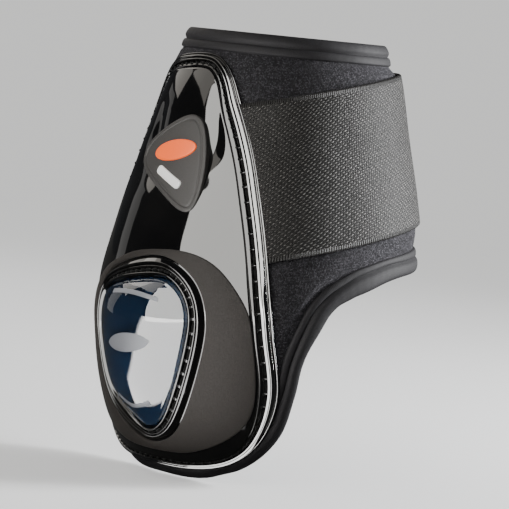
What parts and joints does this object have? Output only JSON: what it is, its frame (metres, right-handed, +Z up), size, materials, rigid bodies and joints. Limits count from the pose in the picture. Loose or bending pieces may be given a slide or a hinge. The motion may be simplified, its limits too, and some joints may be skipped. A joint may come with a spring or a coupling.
{
  "type": "horse hind fetlock boot",
  "caption": "Hind fetlock boot: moulded strike shell with gel window and badge over a padded neoprene wrap, closed by a wide hook-and-loop strap.",
  "frame": {"origin": "on the leg axis, at mid height of the straight cannon cuff inside the lining", "axes": "+Z up the leg, -Y out through the centre of the shell, +X to the side the strap leaves from"},
  "size_m": [0.1174, 0.1248, 0.1646],
  "materials": {
    "shell_tpu": "high gloss moulded thermoplastic polyurethane",
    "matte_patch": "fine matte texture",
    "badge_rubber": "matte soft-touch rubber",
    "badge_orange": "satin inlay",
    "badge_white": "satin inlay",
    "clear_dome": "clear flexible polyurethane",
    "gel_blue": "clear blue gel",
    "navy_backing": "navy film behind the gel",
    "print_grey": "printed mark",
    "neoprene": "fine knit face",
    "foam": "closed-cell foam",
    "lining": "soft brushed lining",
    "lycra": "smooth stretch binding",
    "elastic": "woven elastic webbing",
    "hook": "fine hook tape",
    "loop": "brushed loop tape",
    "tab": "moulded grip",
    "thread": "polyester thread"
  },
  "bodies": {
    "core": {"outer_shell": "shell_tpu", "shell_thread": "thread", "impact_patch": "matte_patch", "gel_bezel": "shell_tpu", "bezel_thread": "thread", "gel_dome": "clear_dome", "gel_fluid": "gel_blue", "gel_backing": "navy_backing", "dome_emblem": "print_grey", "badge_base": "badge_rubber", "badge_emblem": "badge_orange", "badge_bar": "badge_white", "neoprene_core": "neoprene", "foam_core": "foam", "lining_core": "lining", "top_binding": "lycra", "bottom_binding": "lycra", "strap_root": "elastic"},
    "front_flap": {"front_neoprene": "neoprene", "front_foam": "foam", "front_lining": "lining", "front_binding": "lycra", "strap_anchor": "elastic", "anchor_thread": "thread"},
    "strap": {"strap_band": "elastic"},
    "strap_end": {"strap_end_band": "elastic", "hook_patch": "hook", "pull_tab": "tab", "tab_thread": "thread"},
    "rear_flap": {"rear_neoprene": "neoprene", "rear_foam": "foam", "rear_lining": "lining", "rear_binding": "lycra", "loop_patch": "loop"}
  },
  "joints": [
    {"name": "front_flap_open", "type": "hinge", "parent": "core", "child": "front_flap", "pos_m": [0.04779, -0.02128, -0.032], "axis": [0.209, -0.093, -0.9735], "range_deg": [0, 50]},
    {"name": "strap_swing", "type": "hinge", "parent": "front_flap", "child": "strap", "pos_m": [0.05109, -0.00537, -0.028], "axis": [0.2275, -0.0239, -0.9735], "range_deg": [0, 60]},
    {"name": "strap_peel", "type": "hinge", "parent": "strap", "child": "strap_end", "pos_m": [0.02498, 0.04327, -0.022], "axis": [0.1144, 0.1981, -0.9735], "range_deg": [0, 90]},
    {"name": "rear_flap_open", "type": "hinge", "parent": "core", "child": "rear_flap", "pos_m": [-0.04532, -0.02018, -0.032], "axis": [0.209, 0.093, 0.9735], "range_deg": [0, 30]}
  ],
  "couplings": [
    {"joint": "rear_flap_open", "follows": "strap_peel", "ratio": 0.3}
  ]
}
